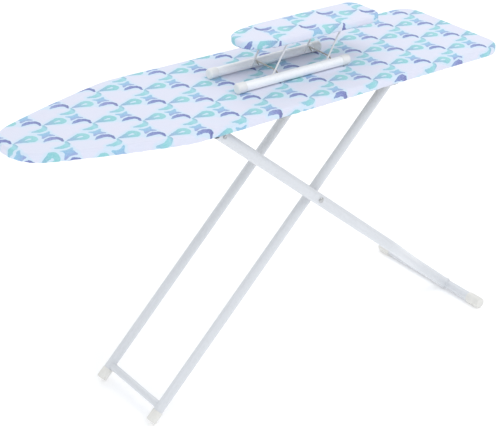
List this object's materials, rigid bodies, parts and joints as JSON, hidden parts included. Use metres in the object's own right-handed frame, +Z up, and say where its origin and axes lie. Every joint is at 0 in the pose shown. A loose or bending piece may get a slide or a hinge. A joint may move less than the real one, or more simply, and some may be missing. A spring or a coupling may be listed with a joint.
{
  "type": "ironing board",
  "caption": "Folding ironing board with a padded printed top on crossed tube legs, carrying a small folding sleeve board on wire legs.",
  "frame": {"origin": "centre of the bounding box in plan, on the floor under the feet", "axes": "+Z up, +X along the board from its nose to its square end, +Y across the board, away from the side that the single leg tube is on"},
  "size_m": [1.2132, 0.366, 0.794],
  "materials": {
    "printed_cotton": "printed plain-weave cotton",
    "felt": "needled felt",
    "zinc_steel": "zinc plated",
    "white_paint": "semi-gloss white powder coat",
    "elastic": "braided elastic",
    "rivet_steel": "bright plated",
    "black_plastic": "moulded, fine grain",
    "white_plastic": "moulded, slightly translucent",
    "wire_paint": "white powder coat"
  },
  "bodies": {
    "board": {"cover": "printed_cotton", "pad": "felt", "deck_panel": "zinc_steel", "edge_rim": "white_paint", "cross_ribs": "white_paint", "hem_elastic": "elastic", "deck_rivets": "rivet_steel", "hinge_brackets": "white_paint", "hinge_rod": "zinc_steel", "hinge_rod_nuts": "rivet_steel", "guide_plate_inner": "zinc_steel", "guide_plate_outer": "zinc_steel", "guide_rivets": "rivet_steel", "lever_pin": "rivet_steel", "lever_spring": "rivet_steel"},
    "release": {"release_lever": "zinc_steel", "lever_grip": "black_plastic"},
    "double_leg": {"double_tube_near": "white_paint", "double_tube_far": "white_paint", "double_leg_bar": "white_paint", "double_cap_near": "white_plastic", "double_cap_far": "white_plastic", "pivot_rivet": "rivet_steel"},
    "single_leg": {"single_tube": "white_paint", "single_foot_bar": "white_paint", "single_cap_near": "white_plastic", "single_cap_far": "white_plastic", "slide_rod": "zinc_steel", "slide_rod_rollers": "black_plastic", "pivot_washers": "black_plastic"},
    "sleeve_base": {"sleeve_base_near": "white_paint", "sleeve_base_far": "white_paint", "sleeve_base_caps": "white_plastic"},
    "sleeve_leg_front": {"sleeve_wire_front": "wire_paint", "sleeve_stay_front": "wire_paint"},
    "sleeve_leg_rear": {"sleeve_wire_rear": "wire_paint", "sleeve_stay_rear": "wire_paint"},
    "sleeve_top": {"sleeve_cover": "printed_cotton", "sleeve_pad": "felt", "sleeve_panel": "zinc_steel", "sleeve_rim": "white_paint", "sleeve_clips": "zinc_steel", "sleeve_clip_screws": "rivet_steel"}
  },
  "joints": [
    {"name": "leg_fold", "type": "hinge", "parent": "board", "child": "double_leg", "pos_m": [0.29305, 0, 0.658], "axis": [0, 1, 0], "range_deg": [0, 41.1]},
    {"name": "leg_cross", "type": "hinge", "parent": "double_leg", "child": "single_leg", "pos_m": [0.07742, 0, 0.43857], "axis": [0, 1, 0], "range_deg": [-76.88, 0.1]},
    {"name": "lever_pull", "type": "hinge", "parent": "board", "child": "release", "pos_m": [-0.14378, 0, 0.667], "axis": [0, 1, 0], "range_deg": [-6, 0], "stiffness_Nm_per_rad": 0.6, "springref_deg": 5.73, "deforming": ["lever_spring"]},
    {"name": "sleeve_lift", "type": "slide", "parent": "board", "child": "sleeve_base", "axis": [0, 0, 1], "range_m": [0, 0.3]},
    {"name": "sleeve_fold", "type": "hinge", "parent": "sleeve_base", "child": "sleeve_leg_front", "pos_m": [0.01144, 0, 0.7078], "axis": [0, -1, 0], "range_deg": [0, 108]},
    {"name": "sleeve_fold_rear", "type": "hinge", "parent": "sleeve_base", "child": "sleeve_leg_rear", "pos_m": [0.15944, 0, 0.7078], "axis": [0, -1, 0], "range_deg": [-0.1, 108.1]},
    {"name": "sleeve_level", "type": "hinge", "parent": "sleeve_leg_front", "child": "sleeve_top", "pos_m": [0.05012, 0, 0.7748], "axis": [0, 1, 0], "range_deg": [-0.1, 108.1]}
  ],
  "couplings": [
    {"joint": "leg_cross", "follows": "leg_fold", "ratio": -1.8656},
    {"joint": "sleeve_fold_rear", "follows": "sleeve_fold", "ratio": 1},
    {"joint": "sleeve_level", "follows": "sleeve_fold", "ratio": 1}
  ]
}
